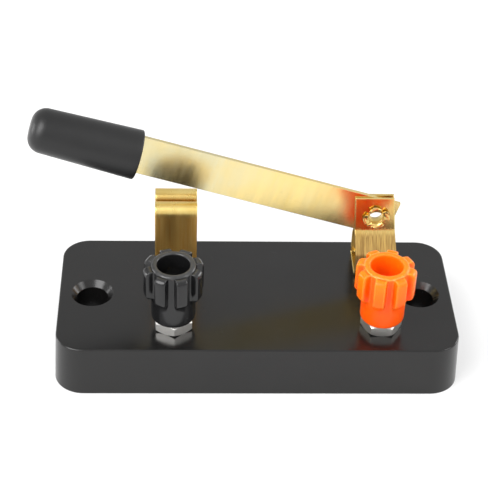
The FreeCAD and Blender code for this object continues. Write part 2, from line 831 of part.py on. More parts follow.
NODES = [
    "base", "jaw_clip", "hinge_clip", "blade", "handle_cap", "pivot_eyelet",
    "black_post_bolt", "black_post_nut", "black_knob", "black_knob_insert",
    "black_lock_washer", "red_post_bolt", "red_post_nut", "red_knob", "red_knob_insert",
    "red_lock_washer", "jaw_clip_screw", "jaw_clip_washer", "jaw_clip_nut",
    "hinge_clip_screw", "hinge_clip_washer", "hinge_clip_nut", "jaw_link", "hinge_link",
]

doc.recompute()
for item in doc.Objects:
    if "Invalid" in item.State or "Error" in item.State:
        raise RuntimeError("%s failed: %s" % (item.Label, item.State))
for node in NODES:
    shape = doc.getObjectsByLabel(node)[0].Shape
    if shape.isNull() or not shape.isValid() or len(shape.Solids) != 1:
        raise RuntimeError(node + " has no single valid solid")
    shape.exportStep("parts/%s.step" % node)
    box = shape.BoundBox
    print("%-20s volume %9.2f  x %.2f..%.2f  y %.2f..%.2f  z %.2f..%.2f"
          % (node, shape.Volume, box.XMin, box.XMax, box.YMin, box.YMax, box.ZMin, box.ZMax))
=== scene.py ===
import math

import bmesh
import bpy
from mathutils import Matrix, Vector
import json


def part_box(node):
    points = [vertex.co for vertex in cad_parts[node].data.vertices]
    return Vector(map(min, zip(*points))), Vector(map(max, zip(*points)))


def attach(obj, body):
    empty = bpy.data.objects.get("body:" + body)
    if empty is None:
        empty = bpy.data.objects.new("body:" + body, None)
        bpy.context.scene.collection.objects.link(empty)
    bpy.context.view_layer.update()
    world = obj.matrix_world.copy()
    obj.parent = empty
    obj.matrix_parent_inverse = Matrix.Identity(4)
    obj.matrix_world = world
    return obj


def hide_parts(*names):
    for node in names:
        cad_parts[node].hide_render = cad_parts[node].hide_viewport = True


# A single-pole knife blade switch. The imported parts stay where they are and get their
# finishes here; knobs, cap, eyelet and bolts are replaced by finer meshes of the same size.
# Every length is in metres, written as millimetres times MM.

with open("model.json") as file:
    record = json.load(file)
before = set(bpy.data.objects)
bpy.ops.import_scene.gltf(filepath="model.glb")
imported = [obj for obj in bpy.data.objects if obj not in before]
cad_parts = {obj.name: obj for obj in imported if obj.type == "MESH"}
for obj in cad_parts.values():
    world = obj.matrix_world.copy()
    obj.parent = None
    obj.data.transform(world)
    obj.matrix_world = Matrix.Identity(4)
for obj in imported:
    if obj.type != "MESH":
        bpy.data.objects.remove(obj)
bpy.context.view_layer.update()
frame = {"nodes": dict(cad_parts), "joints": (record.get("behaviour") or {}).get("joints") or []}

MM = 0.001
nodes = frame["nodes"]
joints = {joint["name"]: joint for joint in frame["joints"]}
PIVOT = Vector(joints["blade_swing"]["pos_m"])
SWING = math.radians(16.75)  # how far the blade is open at rest, up from level

scene = bpy.context.scene
scene.view_settings.view_transform = "Standard"

# -------------------------------------------------------------------- camera

CAMERA_PLACE = Vector((-19.07, -285.54, 246.52)) * MM
CAMERA_YAW = math.radians(3.15)
CAMERA_PITCH = math.radians(37.42)
CAMERA_ROLL = math.radians(2.24)
CAMERA_LENS = 113.37


def add_camera():
    forward = Vector((math.sin(CAMERA_YAW) * math.cos(CAMERA_PITCH),
                      math.cos(CAMERA_YAW) * math.cos(CAMERA_PITCH),
                      -math.sin(CAMERA_PITCH)))
    level = Vector((math.cos(CAMERA_YAW), -math.sin(CAMERA_YAW), 0))
    upright = level.cross(forward)
    across = level * math.cos(CAMERA_ROLL) + upright * math.sin(CAMERA_ROLL)
    up = upright * math.cos(CAMERA_ROLL) - level * math.sin(CAMERA_ROLL)
    data = bpy.data.cameras.new("camera")
    data.lens = CAMERA_LENS
    data.sensor_width = 36
    data.clip_start = 0.01
    data.clip_end = 50
    camera = bpy.data.objects.new("camera", data)
    turn = Matrix((across, up, -forward)).transposed()
    camera.matrix_world = Matrix.Translation(CAMERA_PLACE) @ turn.to_4x4()
    scene.collection.objects.link(camera)
    scene.camera = camera


add_camera()

# --------------------------------------------------------------------- nodes


class Nodes:
    """Short calls for building a material's node tree."""

    def __init__(self, name):
        self.material = bpy.data.materials.new(name)
        self.material.use_nodes = True
        self.tree = self.material.node_tree
        self.tree.nodes.clear()
        self.shader = self.add("ShaderNodeBsdfPrincipled")
        out = self.add("ShaderNodeOutputMaterial")
        self.tree.links.new(self.shader.outputs[0], out.inputs[0])

    def add(self, kind, **settings):
        node = self.tree.nodes.new(kind)
        for key, value in settings.items():
            setattr(node, key, value)
        return node

    def put(self, socket, value):
        """Sets an input to a number, a colour, or another node's output."""
        if isinstance(value, bpy.types.NodeSocket):
            self.tree.links.new(value, socket)
        elif isinstance(value, (tuple, list)) and len(value) == 3 and socket.type == "RGBA":
            socket.default_value = (*value, 1.0)
        else:
            socket.default_value = value

    def set(self, **values):
        for key, value in values.items():
            self.put(self.shader.inputs[key.replace("_", " ")], value)

    def place(self, scale=(1, 1, 1), turn=(0, 0, 0)):
        """Object coordinates, turned and scaled."""
        source = self.add("ShaderNodeTexCoord").outputs["Object"]
        turned = self.add("ShaderNodeMapping", vector_type="POINT")
        self.put(turned.inputs["Vector"], source)
        turned.inputs["Rotation"].default_value = turn
        stretched = self.add("ShaderNodeMapping", vector_type="POINT")
        self.put(stretched.inputs["Vector"], turned.outputs[0])
        stretched.inputs["Scale"].default_value = scale
        return stretched.outputs[0]

    def noise(self, where, scale, detail=3.0, rough=0.55):
        node = self.add("ShaderNodeTexNoise")
        self.put(node.inputs["Vector"], where)
        node.inputs["Scale"].default_value = scale
        node.inputs["Detail"].default_value = detail
        node.inputs["Roughness"].default_value = rough
        return node.outputs["Fac"]

    def ramp(self, value, low, high, start=0.0, end=1.0, smooth=False):
        node = self.add("ShaderNodeMapRange")
        if smooth:
            node.interpolation_type = "SMOOTHSTEP"
        self.put(node.inputs["Value"], value)
        node.inputs["From Min"].default_value = low
        node.inputs["From Max"].default_value = high
        node.inputs["To Min"].default_value = start
        node.inputs["To Max"].default_value = end
        return node.outputs[0]

    def mix(self, factor, first, second):
        node = self.add("ShaderNodeMix", data_type="RGBA")
        self.put(node.inputs["Factor"], factor)
        self.put(node.inputs[6], first)
        self.put(node.inputs[7], second)
        return node.outputs[2]

    def math(self, operation, first, second):
        node = self.add("ShaderNodeMath", operation=operation)
        self.put(node.inputs[0], first)
        self.put(node.inputs[1], second)
        return node.outputs[0]

    def bump(self, height, distance, strength, after):
        node = self.add("ShaderNodeBump")
        self.put(node.inputs["Height"], height)
        node.inputs["Distance"].default_value = distance
        node.inputs["Strength"].default_value = strength
        self.put(node.inputs["Normal"], after)
        return node.outputs[0]

    def height_of(self, where):
        """The upward part of a position."""
        node = self.add("ShaderNodeSeparateXYZ")
        self.put(node.inputs[0], where)
        return node.outputs["Z"]

    def crevice(self, reach):
        """Rises towards 1 where other surfaces close in; it masks the painted shade in creases.
        """
        node = self.add("ShaderNodeAmbientOcclusion", samples=6)
        node.inputs["Distance"].default_value = reach
        return self.ramp(node.outputs["AO"], 0.97, 0.55)

    def near(self, where, middle, reach):
        """1 at a point and fading to 0 at a distance given for each axis, in mm."""
        node = self.add("ShaderNodeMapping", vector_type="POINT")
        self.put(node.inputs["Vector"], where)
        scale = [1 / (MM * size) for size in reach]
        node.inputs["Scale"].default_value = scale
        node.inputs["Location"].default_value = [
            -spot * MM * size for spot, size in zip(middle, scale)]
        length = self.add("ShaderNodeVectorMath", operation="LENGTH")
        self.put(length.inputs[0], node.outputs[0])
        return self.ramp(length.outputs["Value"], 0.45, 1.0, 1, 0, smooth=True)

    def soft_edge(self, radius):
        node = self.add("ShaderNodeBevel", samples=6)
        node.inputs["Radius"].default_value = radius
        return node.outputs[0]

    def edge_mask(self, radius):
        """About 1 on sharp edges and 0 on flat faces."""
        around = self.soft_edge(radius)
        flat = self.add("ShaderNodeNewGeometry").outputs["Normal"]
        node = self.add("ShaderNodeVectorMath", operation="DOT_PRODUCT")
        self.put(node.inputs[0], around)
        self.put(node.inputs[1], flat)
        return self.ramp(node.outputs["Value"], 0.995, 0.86)


PALE_BRASS = {"bright": (0.75, 0.68, 0.42), "deep": (0.84, 0.68, 0.31),
              "dull": (0.62, 0.44, 0.17)}
GOLD_BRASS = {"bright": (0.87, 0.67, 0.25), "deep": (0.80, 0.57, 0.17),
              "dull": (0.50, 0.30, 0.08)}
RUBBED_BRASS = (0.98, 0.86, 0.52)


def brass(name, tones, grain_turn, grain_scale, rough, grain, dull, lean=0.0, soft=0.10,
          band=None, crevice_shade=0.0, zones=()):
    """Brushed strip brass. The grain runs along the axis where grain_scale is smallest. lean,
    in degrees, tips the surface as a strip that isn't quite upright. soft is the radius of
    its edges in mm. band is (low, high, roughness, colour, least, most): a height range
    where the strip is roughened and streaked with a colour. The argument before zones paints
    shade, darkening the colour towards the dull tone where surfaces close in. Each zone is
    (middle, reach, colour, share): a patch, measured in mm in the grain's own turned frame."""
    n = Nodes(name)
    where = n.place()
    grain_where = n.place(grain_scale, grain_turn)
    streaks = n.noise(grain_where, 1100, 4, 0.65)
    broad = n.noise(grain_where, 260, 3, 0.6)
    clouds = n.noise(where, 150, 4, 0.6)
    spots = n.noise(where, 700, 4, 0.6)
    colour = n.mix(n.ramp(clouds, 0.38, 0.75), tones["bright"], tones["deep"])
    colour = n.mix(n.ramp(streaks, 0.50, 0.80, 0, grain * 0.5), colour, tones["deep"])
    for middle, reach, tint, share in zones:
        near = n.near(n.place((1, 1, 1), grain_turn), middle, reach)
        colour = n.mix(n.math("MULTIPLY", near, n.ramp(streaks, 0.3, 0.7, share * 0.6, share)),
                       colour, tint)
    colour = n.mix(n.ramp(spots, 0.62, 0.85, 0, dull), colour, tones["dull"])
    # Painted shade: the colour is darkened towards the dull tone where other surfaces close in,
    # as in the valley between the jaw's rolls.
    if crevice_shade:
        colour = n.mix(n.math("MULTIPLY", n.crevice(3.0 * MM), crevice_shade), colour, tones["dull"])
    worn = n.edge_mask(0.2 * MM)
    colour = n.mix(n.math("MULTIPLY", worn, 0.5), colour, RUBBED_BRASS)
    gloss = n.ramp(broad, 0.3, 0.7, rough * 0.8, rough * 1.25)
    gloss = n.math("ADD", gloss, n.ramp(spots, 0.6, 0.85, 0, 0.06))
    if band:
        low, high, band_rough, tint, least, most = band
        height = n.height_of(where)
        striped = n.noise(n.place((2.0, 0.1, 0.05)), 1100, 3, 0.75)
        height = n.math("ADD", height, n.ramp(striped, 0.3, 0.7, -0.8 * MM, 0.8 * MM))
        inside = n.math("MULTIPLY", n.ramp(height, (low - 0.6) * MM, low * MM),
                        n.ramp(height, high * MM, (high + 1.4) * MM, 1, 0))
        share = n.math("MULTIPLY", inside, n.ramp(striped, 0.38, 0.62, least, most))
        colour = n.mix(share, colour, tint)
        gloss = n.math("ADD", gloss, n.math("MULTIPLY", inside, band_rough - rough))
    height = n.math("ADD", n.math("MULTIPLY", streaks, 0.7), n.math("MULTIPLY", broad, 0.6))
    normal = n.soft_edge(soft * MM)
    if lean:
        slope = n.math("MULTIPLY", n.height_of(where), -math.tan(math.radians(lean)))
        normal = n.bump(slope, 1.0, 1.0, normal)
    normal = n.bump(height, 0.006 * MM * grain, 1.0, normal)
    n.set(Base_Color=colour, Metallic=1.0, Roughness=gloss, Normal=normal)
    return n.material


def turned_brass():
    n = Nodes("turned_brass")
    where = n.place((1, 1, 12))
    rings = n.noise(where, 500, 3)
    colour = n.mix(n.ramp(rings, 0.35, 0.7), (0.84, 0.64, 0.30), (0.70, 0.50, 0.20))
    n.set(Base_Color=colour, Metallic=1.0, Roughness=n.ramp(rings, 0.3, 0.7, 0.18, 0.34),
          Normal=n.bump(rings, 0.01 * MM, 0.5, n.soft_edge(0.08 * MM)))
    return n.material


def plated_steel(rough):
    """Nickel plate, matt on the flats and bright on the edges."""
    n = Nodes("plated_steel")
    where = n.place()
    fine = n.noise(where, 1800, 3, 0.6)
    broad = n.noise(where, 240, 3)
    lines = n.noise(n.place((1, 1, 8)), 600, 3)
    colour = n.mix(n.ramp(broad, 0.3, 0.72), (0.93, 0.91, 0.87), (0.80, 0.78, 0.74))
    colour = n.mix(n.ramp(fine, 0.62, 0.85, 0, 0.2), colour, (0.60, 0.57, 0.52))
    worn = n.edge_mask(0.22 * MM)
    colour = n.mix(n.math("MULTIPLY", worn, 0.7), colour, (0.99, 0.99, 0.98))
    gloss = n.math("SUBTRACT", n.ramp(broad, 0.3, 0.75, rough * 0.85, rough * 1.15),
                   n.math("MULTIPLY", worn, rough * 0.5))
    normal = n.bump(n.math("ADD", fine, lines), 0.003 * MM, 0.6, n.soft_edge(0.14 * MM))
    n.set(Base_Color=colour, Metallic=1.0, Roughness=gloss, Normal=normal)
    return n.material


def moulded(name, colour, wear_and_highlight_colour, rough, grain_height, grain_size, lighter_top=None):
    """Moulded plastic with a faint skin texture, small scuffs and lighter edges; the edge colour
    is partly
    wear and partly a painted highlight along rims. The last argument, if given, is (height,
    colour):
    above that height the plastic is mixed towards a lighter colour."""
    n = Nodes(name)
    where = n.place()
    skin = n.noise(where, grain_size, 4, 0.6)
    broad = n.noise(where, 90, 3)
    scuff_a = n.noise(n.place((1, 14, 4), (0, 0, 0.5)), 160, 2)
    scuff_b = n.noise(n.place((13, 1, 4), (0, 0, -0.35)), 150, 2)
    scuffs = n.math("MAXIMUM", n.ramp(scuff_a, 0.70, 0.80), n.ramp(scuff_b, 0.71, 0.80))
    paint = n.mix(n.ramp(broad, 0.35, 0.75, 0, 0.18), colour, wear_and_highlight_colour)
    paint = n.mix(n.math("MULTIPLY", scuffs, 0.3), paint, wear_and_highlight_colour)
    # Lighter edges: partly wear, partly a painted highlight along the rims.
    paint = n.mix(n.math("MULTIPLY", n.edge_mask(0.3 * MM), 0.7), paint, wear_and_highlight_colour)
    # Mixed towards a lighter colour above a given height.
    if lighter_top:
        height, pale = lighter_top
        share = n.math("MULTIPLY", n.ramp(n.height_of(where), (height - 0.1) * MM,
                                          (height + 0.3) * MM), n.ramp(skin, 0.3, 0.6, 0.5, 1))
        paint = n.mix(share, paint, pale)
    gloss = n.math("ADD", n.ramp(broad, 0.3, 0.7, rough * 0.85, rough * 1.2),
                   n.math("MULTIPLY", scuffs, 0.12))
    normal = n.bump(skin, grain_height, 0.6, n.soft_edge(0.15 * MM))
    n.set(Base_Color=paint, Roughness=gloss, Normal=normal, IOR=1.5)
    return n.material


def orange_plastic():
    """Slightly translucent orange plastic, paler at thin rims, with painted light making it paler
    towards the top and painted shade making its grooves and bore deeper red.
    """
    n = Nodes("red_knob_plastic")
    where = n.place()
    skin = n.noise(where, 1500, 3)
    broad = n.noise(where, 120, 3)
    # Painted light: the plastic is paler towards the top, where more light falls on it.
    rise = n.ramp(n.height_of(where), 21 * MM, 30.7 * MM)
    paint = n.mix(rise, (1.0, 0.085, 0.0), (1.0, 0.22, 0.003))
    paint = n.mix(n.ramp(broad, 0.35, 0.75, 0, 0.3), paint, (1.0, 0.16, 0.002))
    # Painted shade: deeper red where surfaces close in, in the grooves and the bore.
    paint = n.mix(n.math("MULTIPLY", n.crevice(2.5 * MM), 0.6), paint, (1.0, 0.05, 0.0))
    paint = n.mix(n.math("MULTIPLY", n.edge_mask(0.6 * MM), 0.8), paint, (1.0, 0.56, 0.15))
    n.set(Base_Color=paint, Roughness=n.ramp(broad, 0.3, 0.7, 0.26, 0.36), IOR=1.45,
          Normal=n.bump(skin, 0.004 * MM, 0.5, n.soft_edge(0.12 * MM)),
          Subsurface_Weight=0.5, Subsurface_Scale=1.8 * MM)
    n.shader.inputs["Subsurface Radius"].default_value = (1.0, 0.30, 0.05)
    n.shader.inputs["Specular IOR Level"].default_value = 0.3
    return n.material


def blade_zone(along, height, reach, tint, share):
    """A patch on the blade, given along it from the pivot and up from its middle."""
    level = Matrix.Rotation(-SWING, 3, "Y")
    return (tuple(level @ PIVOT / MM + Vector((-along, 0, height))), reach, tint, share)


# Heights in mm: the jaw's leg ends below its rolls, and the hinge's leaning legs below its ears.
JAW_LEG = (13, 30.3)
HINGE_LEG = (15.0, 23.2)

# The blade is browner where the jaw rubs it and deeper in colour near the pivot.
BLADE_ZONES = [
    blade_zone(47.5, -1.0, (8.4, 20, 5.4), (0.86, 0.57, 0.15), 0.6),
    blade_zone(0.0, 0.0, (46, 20, 40), (0.98, 0.74, 0.27), 0.9),
]

materials = {
    "base": moulded("base_plastic", (0.0052, 0.0049, 0.0047), (0.013, 0.0125, 0.012), 0.21,
                    0.004 * MM, 1600),
    # In these brass finishes the crevice weight paints shade where surfaces close in.
    "blade": brass("blade_brass", PALE_BRASS, (0, -SWING, 0), (1.3, 1, 0.07), 0.21, 1.0, 0.15,
                   lean=4.2, crevice_shade=0.3, zones=BLADE_ZONES),
    "jaw": brass("jaw_brass", GOLD_BRASS, (0, 0, 0), (1, 0.4, 0.15), 0.30, 0.9, 0.6, lean=4.0,
                 soft=0.6, band=(*JAW_LEG, 0.36, (0.72, 0.38, 0.09), 0.6, 1.0), crevice_shade=1.0),
    "hinge": brass("hinge_brass", GOLD_BRASS, (0, 0, 0), (1.6, 0.3, 0.05), 0.20, 0.9, 0.5,
                   lean=5.5, soft=0.4, band=(*HINGE_LEG, 0.62, (0.30, 0.19, 0.065), 0.5, 1.0),
                   crevice_shade=0.3),
    "link": brass("link_brass", GOLD_BRASS, (0, 0, 0), (1, 0.06, 1), 0.28, 0.5, 0.4),
    "eyelet": brass("eyelet_brass", GOLD_BRASS, (0, 0, 0), (1, 1, 1), 0.27, 0.4, 0.2,
                    lean=8.0, crevice_shade=0.5),
    "insert": turned_brass(),
    "steel": plated_steel(0.40),
    "cap": moulded("handle_vinyl", (0.0045, 0.0045, 0.0047), (0.016, 0.016, 0.0165), 0.38,
                   0.016 * MM, 900),
    # The black knob's light edge colour paints highlights along its rims; its top ring is mixed
    # lighter above 30.25 mm.
    "black_knob": moulded("black_knob_plastic", (0.003, 0.003, 0.0034), (0.05, 0.05, 0.051),
                          0.20, 0.005 * MM, 1500, (30.25, (0.045, 0.045, 0.045))),
    "red_knob": orange_plastic(),
}


def paint(piece, material):
    piece.data.materials.clear()
    piece.data.materials.append(material)
    for polygon in piece.data.polygons:
        polygon.material_index = 0


def finish_node(name, material):
    """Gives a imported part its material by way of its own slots."""
    for index in range(len(nodes[name].material_slots)):
        nodes[name].material_slots[index].material = material


FINISH = {
    "base": "base", "blade": "blade", "jaw_clip": "jaw", "hinge_clip": "hinge",
    "jaw_link": "link", "hinge_link": "link",
}
for node_name in nodes:
    if node_name in FINISH:
        finish_node(node_name, materials[FINISH[node_name]])
    elif node_name.endswith(("nut", "washer", "screw", "bolt")):
        finish_node(node_name, materials["steel"])
    elif node_name.endswith("insert"):
        finish_node(node_name, materials["insert"])

# -------------------------------------------------------------------- meshes


def new_piece(name, mesh, material, smooth=True):
    piece = bpy.data.objects.new(name, mesh)
    scene.collection.objects.link(piece)
    paint(piece, material)
    for polygon in mesh.polygons:
        polygon.use_smooth = smooth
    return piece


def grid_mesh(name, rows, capped=False):
    """A skin over rows of points. Each row is a ring with the same number of points. capped
    closes the first and the last ring with a face."""
    bm = bmesh.new()
    rings = [[bm.verts.new(point) for point in row] for row in rows]
    count = len(rows[0])
    for lower, upper in zip(rings, rings[1:]):
        for i in range(count):
            j = (i + 1) % count
            bm.faces.new((lower[i], lower[j], upper[j], upper[i]))
    if capped:
        bm.faces.new(list(reversed(rings[0])))
        bm.faces.new(rings[-1])
    bmesh.ops.recalc_face_normals(bm, faces=bm.faces)
    mesh = bpy.data.meshes.new(name)
    bm.to_mesh(mesh)
    bm.free()
    return mesh


def joined_mesh(name, meshes):
    """Meshes put together, with points at the same place made one."""
    bm = bmesh.new()
    for mesh in meshes:
        bm.from_mesh(mesh)
    bmesh.ops.remove_doubles(bm, verts=bm.verts, dist=1e-7)
    bmesh.ops.recalc_face_normals(bm, faces=bm.faces)
    joined = bpy.data.meshes.new(name)
    bm.to_mesh(joined)
    bm.free()
    return joined


def add_visual(name, mesh, material, body, node, smooth=True):
    """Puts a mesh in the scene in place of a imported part, on the same body."""
    piece = new_piece(name, mesh, material, smooth)
    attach(piece, body)
    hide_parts(node)


def arc_points(centre_r, centre_z, radius, start, end, steps):
    """Points (r, z) on an arc, angles in degrees from the outward direction."""
    found = []
    for step in range(steps + 1):
        angle = math.radians(start + (end - start) * step / steps)
        found.append((centre_r + radius * math.cos(angle), centre_z + radius * math.sin(angle)))
    return found


# --------------------------------------------------------------------- knobs

KNOB_LOW = 15.6
KNOB_HIGH = 30.7
KNOB_BODY = 5.15
KNOB_BORE = 3.8
KNOB_FLOOR = 22.9
KNOB_THROAT = 2.9
KNOB_SOCKET = 3.53
KNOB_SOCKET_TOP = 21.6
FIN_REACH = 6.98
FIN_LOW = 22.6
FIN_HIGH = 30.4
FIN_END_ROUND = 1.2
FIN_COUNT = 8
FIN_HALF_WIDTH = 1.62
FIN_SIDE_ROUND = 0.55
KNOB_STEPS = 256
FIN_END_STEPS = 8
FIN_SIDE_STEPS = 10
BLACK_KNOB_TURN = -5.0
RED_KNOB_TURN = 4.0


def smooth_step(value):
    value = min(1.0, max(0.0, value))
    return value * value * (3 - 2 * value)


def fin_share(angle, turn):
    """How far the knob's wall stands out at an angle: 0 in a groove, 1 on a fin."""
    pitch = 2 * math.pi / FIN_COUNT
    off = (angle - turn + pitch / 2) % pitch - pitch / 2
    across = abs(off) * (KNOB_BODY + FIN_REACH) / 2
    return smooth_step((FIN_HALF_WIDTH - across) / FIN_SIDE_ROUND)


def fin_height_share(height):
    """How far a fin stands out at a height, rounded at its two ends."""
    if height <= FIN_LOW or height >= FIN_HIGH:
        return 0.0
    inset = min(height - FIN_LOW, FIN_HIGH - height)
    if inset >= FIN_END_ROUND:
        return 1.0
    full = FIN_REACH - KNOB_BODY
    drop = FIN_END_ROUND - math.sqrt(FIN_END_ROUND ** 2 - (FIN_END_ROUND - inset) ** 2)
    return (full - drop) / full


def knob(colour, groove_turn):
    """A finned knob, open at the top, with a foot that holds its brass bush."""
    centre = sum(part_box(colour + "_knob"), Vector()) / 2
    foot_round, rim_round, lip_round = 0.9, 0.55, 0.35
    profile = [(KNOB_SOCKET + 0.02, KNOB_LOW + 0.10), (KNOB_SOCKET + 0.12, KNOB_LOW)]
    profile += arc_points(KNOB_BODY - foot_round, KNOB_LOW + foot_round, foot_round, -90, 0, 6)
    steps = 5
    for step in range(1, steps):
        span = FIN_LOW - KNOB_LOW - foot_round
        profile.append((KNOB_BODY, KNOB_LOW + foot_round + span * step / steps))
    fins = [FIN_LOW + 0.001]
    for step in range(1, FIN_END_STEPS + 1):
        quarter = math.pi / 2 * step / FIN_END_STEPS
        fins.append(FIN_LOW + FIN_END_ROUND * (1 - math.cos(quarter)))
    for step in range(1, FIN_SIDE_STEPS):
        straight = (FIN_HIGH - FIN_LOW - 2 * FIN_END_ROUND) * step / FIN_SIDE_STEPS
        fins.append(FIN_LOW + FIN_END_ROUND + straight)
    for step in range(FIN_END_STEPS + 1):
        quarter = math.pi / 2 * step / FIN_END_STEPS
        fins.append(FIN_HIGH - FIN_END_ROUND * (1 - math.sin(quarter)))
    rim = arc_points(KNOB_BODY - rim_round, KNOB_HIGH - rim_round, rim_round, 15, 90, 6)
    rim += arc_points(KNOB_BORE + lip_round, KNOB_HIGH - lip_round, lip_round, 90, 180, 5)
    inside = [(KNOB_BORE, KNOB_HIGH - 2), (KNOB_BORE, KNOB_HIGH - 4), (KNOB_BORE, KNOB_FLOOR + 2),
              (KNOB_BORE, KNOB_FLOOR + 0.25), (KNOB_BORE - 0.25, KNOB_FLOOR),
              (KNOB_THROAT + 0.15, KNOB_FLOOR), (KNOB_THROAT, KNOB_FLOOR - 0.15),
              (KNOB_THROAT, KNOB_SOCKET_TOP), (KNOB_SOCKET, KNOB_SOCKET_TOP),
              (KNOB_SOCKET, KNOB_LOW + 3)]
    turn = math.radians(groove_turn - 90 + 180 / FIN_COUNT)
    rows = []

    def ring(radius_at):
        row = []
        for i in range(KNOB_STEPS):
            angle = 2 * math.pi * i / KNOB_STEPS
            radius, height = radius_at(angle)
            row.append((centre.x + math.cos(angle) * radius * MM,
                        centre.y + math.sin(angle) * radius * MM, height * MM))
        rows.append(row)

    for radius, height in profile:
        ring(lambda angle, r=radius, z=height: (r, z))
    for height in fins:
        stand = (FIN_REACH - KNOB_BODY) * fin_height_share(height)
        ring(lambda angle, s=stand, z=height: (KNOB_BODY + s * fin_share(angle, turn), z))
    for radius, height in rim + inside:
        ring(lambda angle, r=radius, z=height: (r, z))
    rows.append(rows[0])
    mesh = joined_mesh(colour + "_knob_skin", [grid_mesh("skin", rows)])
    add_visual(colour + "_knob_skin", mesh, materials[colour + "_knob"],
               colour + "_knob_turning", colour + "_knob")


knob("black", BLACK_KNOB_TURN)
knob("red", RED_KNOB_TURN)

# --------------------------------------------------------------- post bolts

THREAD_PITCH = 0.8
THREAD_CREST = 2.45
THREAD_ROOT = 2.04
THREAD_START = 7.4
THREAD_STEPS = 48
ROWS_PER_TURN = 10
HEAD_STEPS = 64


def thread_radius(angle, height, tip):
    """A right-hand 60 degree thread with flat crests, chamfered at the tip."""
    phase = (height / THREAD_PITCH - angle / (2 * math.pi)) % 1.0
    share = min(1.0, max(0.0, 1.3 * (1 - abs(2 * phase - 1)) - 0.12))
    radius = THREAD_ROOT + (THREAD_CREST - THREAD_ROOT) * share
    return min(radius, THREAD_CREST - 0.55 + (tip - height))


def slotted_head(centre):
    """The bolt's pan head, under the base, with its driver slot cut."""
    low, high, wide, edge = 4.4, 7.6, 4.4, 0.55
    profile = arc_points(wide - edge, low + edge, edge, -90, 0, 6) + [(wide, high)]
    rows = [[(centre.x + radius * math.cos(2 * math.pi * i / HEAD_STEPS) * MM,
              centre.y + radius * math.sin(2 * math.pi * i / HEAD_STEPS) * MM, height * MM)
             for i in range(HEAD_STEPS)] for radius, height in profile]
    head = bpy.data.objects.new("head", grid_mesh("head", rows, capped=True))
    slot_size = Vector((12, 1.0, 2.2))
    bm = bmesh.new()
    bmesh.ops.create_cube(bm, size=1.0)
    bmesh.ops.scale(bm, vec=slot_size * MM, verts=bm.verts)
    bmesh.ops.translate(bm, vec=(centre.x, centre.y, low * MM), verts=bm.verts)
    cutter_mesh = bpy.data.meshes.new("cutter")
    bm.to_mesh(cutter_mesh)
    bm.free()
    cutter = bpy.data.objects.new("cutter", cutter_mesh)
    for helper in (head, cutter):
        scene.collection.objects.link(helper)
    cut = head.modifiers.new("slot", "BOOLEAN")
    cut.operation = "DIFFERENCE"
    cut.object = cutter
    view = bpy.context.evaluated_depsgraph_get()
    mesh = bpy.data.meshes.new_from_object(head.evaluated_get(view))
    for helper in (head, cutter):
        bpy.data.objects.remove(helper)
    return mesh


def post_bolt(colour):
    """Machine screw: slotted head under the base and a cut thread up through the nut."""
    low_corner, high_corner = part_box(colour + "_post_bolt")
    centre = (low_corner + high_corner) / 2
    tip = high_corner.z / MM
    steps = int((tip - THREAD_START) / THREAD_PITCH * ROWS_PER_TURN)
    rows = []
    for step in range(steps + 1):
        height = THREAD_START + (tip - THREAD_START) * step / steps
        row = []
        for i in range(THREAD_STEPS):
            angle = 2 * math.pi * i / THREAD_STEPS
            radius = thread_radius(angle, height, tip)
            row.append((centre.x + radius * math.cos(angle) * MM,
                        centre.y + radius * math.sin(angle) * MM, height * MM))
        rows.append(row)
    bm = bmesh.new()
    bm.from_mesh(slotted_head(centre))
    bm.from_mesh(grid_mesh("thread", rows, capped=True))
    mesh = bpy.data.meshes.new(colour + "_bolt_skin")
    bm.to_mesh(mesh)
    bm.free()
    add_visual(colour + "_bolt_skin", mesh, materials["steel"], "stand",
               colour + "_post_bolt", smooth=False)


post_bolt("black")
post_bolt("red")

# -------------------------------------------------------------------- eyelet

EYELET_BORE = 1.65
EYELET_BARREL = 2.05
EAR_FACE = 1.0
EYELET_STEPS = 96
PETAL_ROOT = 1.85
PETAL_STRAIGHT = 0.4
# Each petal: its middle and half width in degrees, curl radius, how far it curls over in
# degrees, and how far its sides stand up.
PETALS = [(98, 34, 0.80, 150, 0.30), (24, 33, 0.82, 158, 0.32), (288, 33, 0.80, 120, 0.14),
          (238, 17, 0.66, 150, 0.16), (184, 34, 0.76, 152, 0.30)]
CURL_FLATNESS = 0.55


def on_pivot(radius, angle, depth):
    """A point around the pivot: angle in radians from +X towards up, depth to the back."""
    return (PIVOT.x + radius * math.cos(angle) * MM, PIVOT.y + depth * MM,
            PIVOT.z + radius * math.sin(angle) * MM)


def petal(number):
    """One curled tongue of the split barrel, as a closed thick skin."""
    middle, half, curl, over, lift = PETALS[number]
    rise, run, half_wall = 22, 12, 0.14

    def spine(u, v):
        ragged = 1.0 - 0.10 * abs(math.sin(2.3 * u + 1.7 * number)) - 0.12 * u * u
        travel = v * ragged * (PETAL_STRAIGHT + math.radians(over) * curl)
        if travel < PETAL_STRAIGHT:
            radius, depth = PETAL_ROOT, -0.76 - travel
        else:
            bend = (travel - PETAL_STRAIGHT) / curl
            radius = PETAL_ROOT + curl * (1 - math.cos(bend))
            depth = -EAR_FACE - 0.16 - curl * CURL_FLATNESS * math.sin(bend)
            depth -= lift * (abs(u) ** 3 + 0.6 * v ** 6) * math.sin(bend / 2)
            depth -= 0.04 * math.sin(3.1 * u + 5 * bend + number)
        spread = math.radians(half) * (PETAL_ROOT / radius) ** 0.35
        return Vector(on_pivot(radius, math.radians(middle) + u * spread, depth))

    front, back = [], []
    for step in range(rise + 1):
        front_row, back_row = [], []
        for side in range(run + 1):
            u, v = side / run * 2 - 1, step / rise
            here = spine(u, v)
            across = spine(min(u + 0.02, 1), v) - spine(max(u - 0.02, -1), v)
            onward = spine(u, min(v + 0.01, 1)) - spine(u, max(v - 0.01, 0))
            out = across.cross(onward).normalized() * half_wall * MM
            front_row.append(here + out)
            back_row.append(here - out)
        front.append(front_row)
        back.append(back_row)
    rows = [near + list(reversed(far)) for near, far in zip(front, back)]
    return grid_mesh("petal", rows, capped=True)


